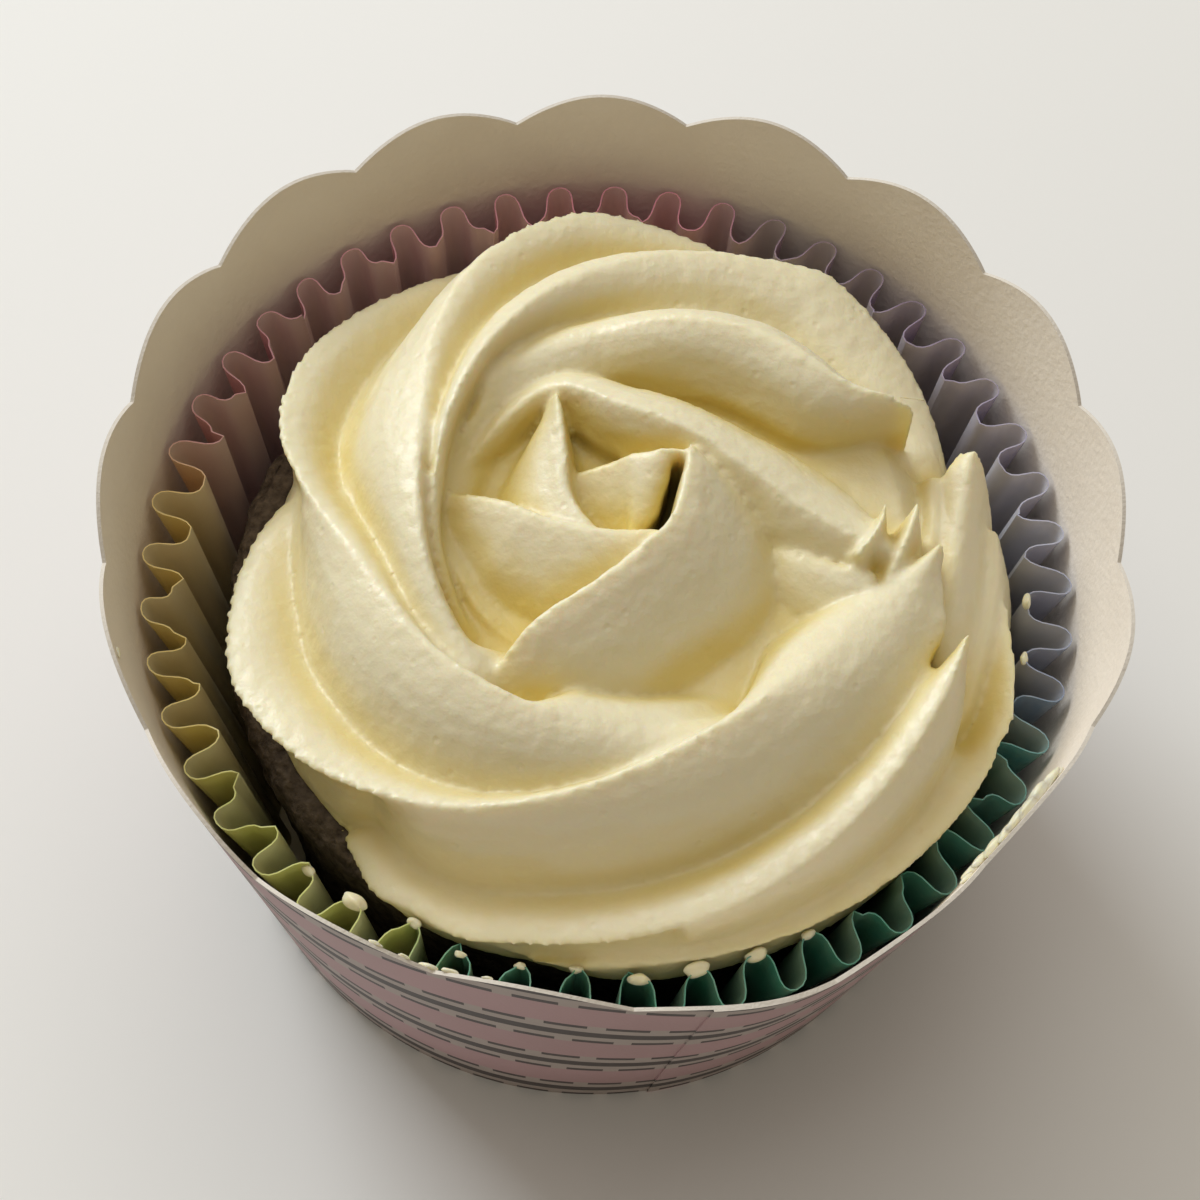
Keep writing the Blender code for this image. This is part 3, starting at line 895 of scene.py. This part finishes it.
def ridge_section(index, angle):
    """Outline of one ridge: foot, flute, face, edge, face, flute, foot."""
    ridge = RIDGES[index]
    edge = ridge_point(ridge, angle)
    outer = ridge_foot(index, edge, angle)
    inner = ridge_back(index, edge, angle)
    if "tip" not in ridge:
        fade = ridge.get("fade", END_SPAN)
        sink = END_SINK * ease(angle, ridge["last"] - fade, ridge["last"]) ** 2
        edge = (edge[0], edge[1] - sink)
        inner = (inner[0], inner[1] - 0.5 * sink)
    wall = flank(outer, edge, ridge.get("turnover", SHARP_TURNOVER))
    outline = [(outer[0], ROSETTE_BASE), outer, *wall, edge,
               *reversed(flank(inner, edge)), inner, (inner[0], ROSETTE_BASE)]
    slim = tip_share(ridge, angle)
    fit = fit_round(index, angle)
    return [(min(edge[0] + (radius - edge[0]) * slim, fit_at(fit, height)),
             max(height, ROSETTE_BASE)) for radius, height in outline]


print("points in a section:", len(ridge_section(2, 270.0)))

# %% [markdown]
# ## Building the cream
# Every ridge and fold is skinned as a closed form of its own: a row of outlines, joined to
# each other, with a cap at either end.

# %% Skin a ridge
SECTION_STEP = 1.5


def off_axis(radius, turn, height):
    """A point at a radius and a turn from the cream's own axis."""
    return (ROSETTE_X + radius * math.cos(turn), radius * math.sin(turn), height)


def loft(bm, sections):
    """A closed skin through a row of outlines."""
    rows = [[bm.verts.new(point) for point in section] for section in sections]
    width = len(rows[0])
    for near, far in zip(rows, rows[1:]):
        for i in range(width):
            j = (i + 1) % width
            bm.faces.new((near[i], near[j], far[j], far[i]))
    bm.faces.new(list(reversed(rows[0])))
    bm.faces.new(rows[-1])


def add_ridge(bm, index):
    """One ridge, from its first angle to its last."""
    ridge = RIDGES[index]
    steps = math.ceil((ridge["last"] - ridge["first"]) / SECTION_STEP)
    sections = []
    for step in range(steps + 1):
        angle = ridge["first"] + (ridge["last"] - ridge["first"]) * step / steps
        turn = math.radians(angle)
        sections.append([off_axis(radius, turn, height)
                         for radius, height in ridge_section(index, angle)])
    loft(bm, sections)


print("a section every", SECTION_STEP, "degrees")

# %% [markdown]
# A fold's outline stands square to its edge line and steps down to the cake on either side.

# %% Skin a fold
FOLD_STEPS = 10
OUTER_SLOPE = ((1.0, None), (1.0, 1.0), (0.7, 0.6), (0.4, 0.28), (0.16, 0.08), (0.0, 0.0))
INNER_SLOPE = ((0.2, 0.13), (0.5, 0.42), (1.0, 1.0), (1.0, None))
NARROW_DROP = 0.4
CROWN_DROP = 0.35


def smooth_line(points, steps):
    """A curve through the given points (Catmull-Rom)."""
    line = []
    for i in range(len(points) - 1):
        before = points[max(i - 1, 0)]
        after = points[min(i + 2, len(points) - 1)]
        for step in range(steps):
            t = step / steps
            line.append([0.5 * (2 * p1 + (p2 - p0) * t + (2 * p0 - 5 * p1 + 4 * p2 - p3) * t * t
                                + (3 * p1 - p0 - 3 * p2 + p3) * t ** 3)
                         for p0, p1, p2, p3 in zip(before, points[i], points[i + 1], after)])
    line.append(list(points[-1]))
    return line


def fold_shape(fold):
    """Steps out from the edge and down from it; None is down to the cake."""
    reach, drop = fold["outer"]
    dip, sink = fold["inner"]
    shape = [(reach * out, None if down is None else drop * down) for out, down in OUTER_SLOPE]
    shape += [(-dip * out, None if down is None else sink * down) for out, down in INNER_SLOPE]
    return shape


def fold_level(height, width, out, down, crown):
    """Height of a point of the outline; the edge itself is rounded off a little."""
    if down is None:
        return ROSETTE_BASE
    rounding = crown * CROWN_DROP * math.exp(-(out / max(crown, 0.01)) ** 2)
    return height - down * (NARROW_DROP + (1 - NARROW_DROP) * width) - rounding


def add_fold(bm, fold):
    """One fold along its edge line."""
    line = smooth_line(fold["edge"], FOLD_STEPS)
    sections = []
    for i, (x, y, height, width) in enumerate(line):
        near = line[max(i - 1, 0)]
        far = line[min(i + 1, len(line) - 1)]
        run_x = far[0] - near[0]
        run_y = far[1] - near[1]
        length = math.hypot(run_x, run_y)
        outline = []
        for out, down in fold_shape(fold):
            level = fold_level(height, width, out, down, fold.get("round", 0.0))
            px = x + run_y / length * out * width
            py = y - run_x / length * out * width
            reached = math.hypot(px, py)
            shrink = min(1.0, fit_at(ROSETTE_FIT, level) / reached) if reached else 1.0
            outline.append((ROSETTE_X + px * shrink, py * shrink, level))
        sections.append(outline)
    loft(bm, sections)


print("points in a fold:", len(fold_shape(FOLDS[0])))

# %% [markdown]
# A plain turned core fills the middle under the folds. Remeshing then joins all the forms
# as one body of fine cells, which also rounds the creases as soft cream does.

# %% Join the cream
CORE = ((0.0, 38.5), (3.5, 38.8), (5.5, 40.6), (21.0, 40.6), (26.0, 35.5), (27.5, ROSETTE_BASE))
CORE_SIDES = 96
VOXEL = 0.30
SOFTEN_PASSES = 2


def add_core(bm):
    """The turned core, closed by a fan above and one below."""
    loops = []
    for radius, height in reversed(CORE[1:]):
        turn = np.arange(CORE_SIDES) * 2 * np.pi / CORE_SIDES
        loops.append([bm.verts.new(off_axis(radius, t, height)) for t in turn])
    for lower, upper in zip(loops, loops[1:]):
        for i in range(CORE_SIDES):
            j = (i + 1) % CORE_SIDES
            bm.faces.new((lower[i], lower[j], upper[j], upper[i]))
    bottom = bm.verts.new((ROSETTE_X, 0.0, ROSETTE_BASE))
    top_point = bm.verts.new((ROSETTE_X, 0.0, CORE[0][1]))
    for i in range(CORE_SIDES):
        j = (i + 1) % CORE_SIDES
        bm.faces.new((bottom, loops[0][j], loops[0][i]))
        bm.faces.new((top_point, loops[-1][i], loops[-1][j]))


def mesh_in_metres(bm, name):
    """A finished mesh from a form worked in millimetres."""
    bmesh.ops.scale(bm, vec=(MM, MM, MM), verts=bm.verts)
    mesh = bpy.data.meshes.new(name)
    bm.to_mesh(mesh)
    bm.free()
    return mesh


bm = bmesh.new()
add_core(bm)
for index in range(len(RIDGES)):
    add_ridge(bm, index)
for fold in FOLDS + TAIL:
    add_fold(bm, fold)
bmesh.ops.recalc_face_normals(bm, faces=bm.faces)
raw_mesh = mesh_in_metres(bm, "rosette_raw")
raw = link("rosette_raw", raw_mesh)
join = raw.modifiers.new("join", "REMESH")
join.mode = "VOXEL"
join.voxel_size = VOXEL * MM
soften = raw.modifiers.new("soften", "SMOOTH")
soften.factor = 0.5
soften.iterations = SOFTEN_PASSES
evaluated = raw.evaluated_get(bpy.context.evaluated_depsgraph_get())
rosette_mesh = bpy.data.meshes.new_from_object(evaluated)
rosette_mesh.name = "rosette"
bpy.data.objects.remove(raw, do_unlink=True)
bpy.data.meshes.remove(raw_mesh)
print("joined:", len(rosette_mesh.vertices), "points")

# %% [markdown]
# The underside lies on the cake and is never seen, so its many small faces give way to one
# flat face.

# %% Flat underside
UNDERSIDE_DEPTH = 0.3
FACING_DOWN = -0.8

bm = bmesh.new()
bm.from_mesh(rosette_mesh)
flat_height = (ROSETTE_BASE + UNDERSIDE_DEPTH) * MM
under = [face for face in bm.faces
         if face.normal.z < FACING_DOWN and face.calc_center_median().z < flat_height]
bmesh.ops.delete(bm, geom=under, context="FACES")
rims = [edge for edge in bm.edges if edge.is_boundary]
bmesh.ops.holes_fill(bm, edges=rims, sides=0)
bm.to_mesh(rosette_mesh)
bm.free()
rosette = link("rosette", rosette_mesh)
rosette_mesh.shade_smooth()
triangles = len(rosette_mesh.loops) - 2 * len(rosette_mesh.polygons)
print("rosette:", len(rosette_mesh.vertices), "points,", triangles, "triangles")

# %% [markdown]
# ## Depth of the flutes
# The creases of the cream get a painted shade, darker and deeper yellow. A heavily smoothed
# copy of the surface passes over the flutes and under the ridges, so the distance to it says
# how deep a point lies.

# %% Depth of the flutes
DEPTH_PASSES = 60


def read(items, name, width, kind=float):
    """A property of all of a mesh's points or edges, one row each."""
    values = np.empty(len(items) * width, dtype=kind)
    items.foreach_get(name, values)
    return values.reshape(-1, width)


def smooth(values, passes):
    """Mean over the neighbours of each point, taken again and again."""
    values = values.reshape(len(points), -1)
    for _ in range(passes):
        total = np.zeros_like(values)
        np.add.at(total, pairs[:, 0], values[pairs[:, 1]])
        np.add.at(total, pairs[:, 1], values[pairs[:, 0]])
        values = total / counts[:, None]
    return values


points = read(rosette_mesh.vertices, "co", 3) / MM
pairs = read(rosette_mesh.edges, "vertices", 2, int)
counts = np.bincount(pairs.ravel(), minlength=len(points))
normals = read(rosette_mesh.vertices, "normal", 3)
hollow = ((smooth(points, DEPTH_PASSES) - points) * normals).sum(axis=1)
print("flute depth from", round(hollow.min(), 2), "to", round(hollow.max(), 2), "mm")

# %% [markdown]
# Light that bounces between two faces of cream also takes on its yellow. Rays go out from
# each point in three rings, and the share that soon meets cream says how closed in it is.

# %% How closed in each point is
RAY_RINGS = ((0.85, 4), (0.5, 6), (0.2, 6))
REACH = 7.0
LIFT = 0.25
LOWEST_RAY = -0.3
CLOSED_PASSES = 8

tree = BVHTree.FromPolygons([tuple(point) for point in points * MM],
                            [tuple(face.vertices) for face in rosette_mesh.polygons])
directions = []
for level, turns in RAY_RINGS:
    for k in range(turns):
        turn = 2 * math.pi * (k + level) / turns
        flat = math.sqrt(1.0 - level * level)
        directions.append((flat * math.cos(turn), flat * math.sin(turn), level))
directions = np.array(directions)
upright = directions[:, 2] / directions[:, 2].sum()
helper = np.where(np.abs(normals[:, :1]) < 0.9, [[1.0, 0.0, 0.0]], [[0.0, 1.0, 0.0]])
side = np.cross(normals, helper)
side /= np.linalg.norm(side, axis=1, keepdims=True)
across = np.cross(normals, side)
closed = np.zeros(len(points))
starts = (points + normals * LIFT) * MM
for share, (a, b, c) in zip(upright, directions):
    rays = side * a + across * b + normals * c
    for i, (start, ray) in enumerate(zip(starts.tolist(), rays.tolist())):
        if ray[2] < LOWEST_RAY or tree.ray_cast(start, ray, REACH * MM)[0] is not None:
            closed[i] += share
closed = smooth(closed, CLOSED_PASSES)
print("closed in:", np.round(np.percentile(closed, (5, 25, 50, 75, 95, 99.5)), 2))

# %% [markdown]
# Piped cream is never quite smooth: the whole surface wavers a little, and the sharp edges
# of the ridges are ragged.

# %% Uneven surface
WAVERS = ((0.09, 5.0, 2, 4.0), (0.04, 1.1, 3, 5.0))
RAGGED = 0.06
RAGGED_SIZE = 0.7
RIDGE_SHARPNESS = 0.35
HOLLOW_PASSES = 16

wobble = layers_at(points, WAVERS)
ridge_share = np.clip(-hollow / RIDGE_SHARPNESS, 0.0, 1.0)
ragged = RAGGED * ridge_share * noise_at(points, RAGGED_SIZE, 2, 6.0)
moved = points + normals * (wobble + ragged)[:, None]
moved[:, 2] = np.maximum(moved[:, 2], ROSETTE_BASE - 0.05)
rosette_mesh.vertices.foreach_set("co", (moved * MM).ravel())
rosette_mesh.update()
store(rosette_mesh, "hollow", smooth(hollow, HOLLOW_PASSES))
store(rosette_mesh, "closed", closed)
print("surface moved by up to", round(float(np.abs(wobble + ragged).max()), 2), "mm")

# %% [markdown]
# ## Cream
# Buttercream is opaque but lets light in a little way, which warms its shaded faces. It has
# a low sheen that breaks up on fine grains of sugar and on tiny air pits.

# %% Cream material
CREAM = (0.80, 0.735, 0.52, 1.0)
# Painted shade: creases and closed-in places are painted darker and deeper yellow, and the deepest
# pits darker still.
CREAM_CREASE_SHADE = (0.66, 0.50, 0.09, 1.0)
CREAM_PIT_SHADE = (0.34, 0.26, 0.08, 1.0)
cream = Nodes("buttercream")
depth = cream.attribute("hollow")
# Masks of the painted shade: how deep a flute is, and how closed in a point is.
crease_shade = cream.spread(depth, 0.05, 0.72, 0.0, 0.9)
closed_in = cream.attribute("closed")
painted_shade_share = cream.maths("MAXIMUM", crease_shade, cream.spread(closed_in, 0.12, 0.56, 0.0, 0.80))
cream_with_shade = cream.blend(painted_shade_share, CREAM, CREAM_CREASE_SHADE)
pit_shade = cream.spread(closed_in, 0.66, 0.92, 0.0, 1.0)
grains = cream.grain(900.0, 4.0)
cream.paint(Base_Color=cream.blend(pit_shade, cream_with_shade, CREAM_PIT_SHADE),
            Roughness=cream.spread(grains, 0.3, 0.7, 0.30, 0.50), Specular_IOR_Level=0.45,
            Subsurface_Weight=0.35, Subsurface_Radius=(1.0, 0.65, 0.25),
            Subsurface_Scale=0.0022)

place = cream.add("TexCoord").outputs["Object"]
pits = cream.add("TexVoronoi", {"Scale": 420.0, "Vector": place}, feature="F1")
pit_shape = cream.spread(pits.outputs["Distance"], 0.0, 0.14, 0.0, 1.0)
sugar = cream.relief(cream.grain(1500.0, 3.0), 0.20, 0.0003)
grainy = cream.relief(grains, 0.25, 0.0003, sugar)
cream.paint(Normal=cream.relief(pit_shape, 0.35, 0.0002, grainy))
rosette_mesh.materials.clear()
rosette_mesh.materials.append(cream.material)
print("cream nodes:", len(cream.tree.nodes))

# %% [markdown]
# ## Smears of cream
# The soft rope left small dabs on the tips of the pleats at the front and the right. A few
# more dried on the edge of the card, and a row of them makes a wavy streak inside it.

# %% Places of the dabs
# Each row: an angle and a size. On the card, also how far below its edge.
PLEAT_DABS = ((232.0, 1.0), (241.0, 1.5), (248.0, 0.9), (256.0, 0.7), (264.0, 0.7),
              (272.0, 0.8), (280.0, 1.2), (287.0, 1.5), (295.0, 1.4), (302.0, 0.9),
              (356.0, 0.9), (3.0, 1.0))
CARD_DABS = ((250.0, 0.40, 0.1), (253.0, 0.35, 0.1), (255.5, 0.50, 0.2), (258.0, 0.45, 0.1),
             (262.0, 0.30, 0.1), (205.0, 0.35, 1.0), (317.3, 0.45, 1.5), (318.8, 0.75, 1.4),
             (320.5, 0.85, 1.3), (322.3, 0.95, 1.2), (324.1, 0.85, 1.1), (325.9, 1.00, 1.1),
             (327.7, 1.05, 1.0), (329.5, 1.15, 1.1), (331.2, 0.95, 1.0), (332.7, 0.50, 0.8))
print("dabs:", len(PLEAT_DABS), "on pleats,", len(CARD_DABS), "on card")

# %% [markdown]
# Each dab is a small ball, pushed out of shape by noise and flattened.

# %% Smears
PLEAT_SHAPE = (0.34, 0.62, 0.5)
CARD_SHAPE = (0.38, 1.3, 0.55)
SINK = 0.25
TIP_LIFT = 0.05
LUMPS = 0.35
LUMP_SIZE = 0.9


def add_dab(bm, centre, size, shape, seed):
    """A small uneven lump; shape is its depth, width and height for a size of 1."""
    depth, width, height = (part * size for part in shape)
    outwards = Vector((centre.x, centre.y, 0.0)).normalized()
    along = Vector((-outwards.y, outwards.x, 0.0))
    for vert in bmesh.ops.create_icosphere(bm, subdivisions=4, radius=1.0)["verts"]:
        push = 1.0 + LUMPS * noise.noise(vert.co * LUMP_SIZE + Vector((seed, 0.0, 0.0)))
        x, y, z = vert.co * push
        vert.co = centre + outwards * depth * x + along * width * y
        vert.co.z += height * z


pleat_tips = liner_outer[-1][PLEAT_STEPS // 2::PLEAT_STEPS]
tip_angles = angles_of(pleat_tips)
bm = bmesh.new()
for i, (angle, size) in enumerate(PLEAT_DABS):
    tip = Vector(pleat_tips[np.abs(turn_between(tip_angles, angle)).argmin()])
    tip.z -= SINK * size - TIP_LIFT
    add_dab(bm, tip, size, PLEAT_SHAPE, 3.0 * i)
for i, (angle, size, below) in enumerate(CARD_DABS):
    level = rim_height(angle) - below
    reach = card_radius(angle, level, level / rim_height(angle)) - CARD - SINK * size
    spot = Vector(polar(np.array([angle]), reach, level)[0])
    add_dab(bm, spot, size, CARD_SHAPE, 50.0 + 3.0 * i)
dab_mesh = mesh_in_metres(bm, "cream_dabs")
dabs = link("cream_dabs", dab_mesh)
dab_mesh.shade_smooth()
for name in ("hollow", "closed"):
    store(dab_mesh, name, np.zeros(len(dab_mesh.vertices)))
dab_mesh.materials.append(cream.material)
print("dabs:", len(dab_mesh.polygons), "faces")

# %% [markdown]
# ## Table of pieces
# Nothing moves, so every piece rides on the one body. All but the dabs stand for a node of
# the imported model.

# %% Pieces
for piece, node, slot in ((cup, "cup", "card"), (liner, "liner", "liner_paper"),
                          (cake, "cake", "sponge"), (rosette, "frosting", "cream")):
    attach(piece, "root")
    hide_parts(node)
    print(piece.name, "stands for", node)
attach(dabs, "root")
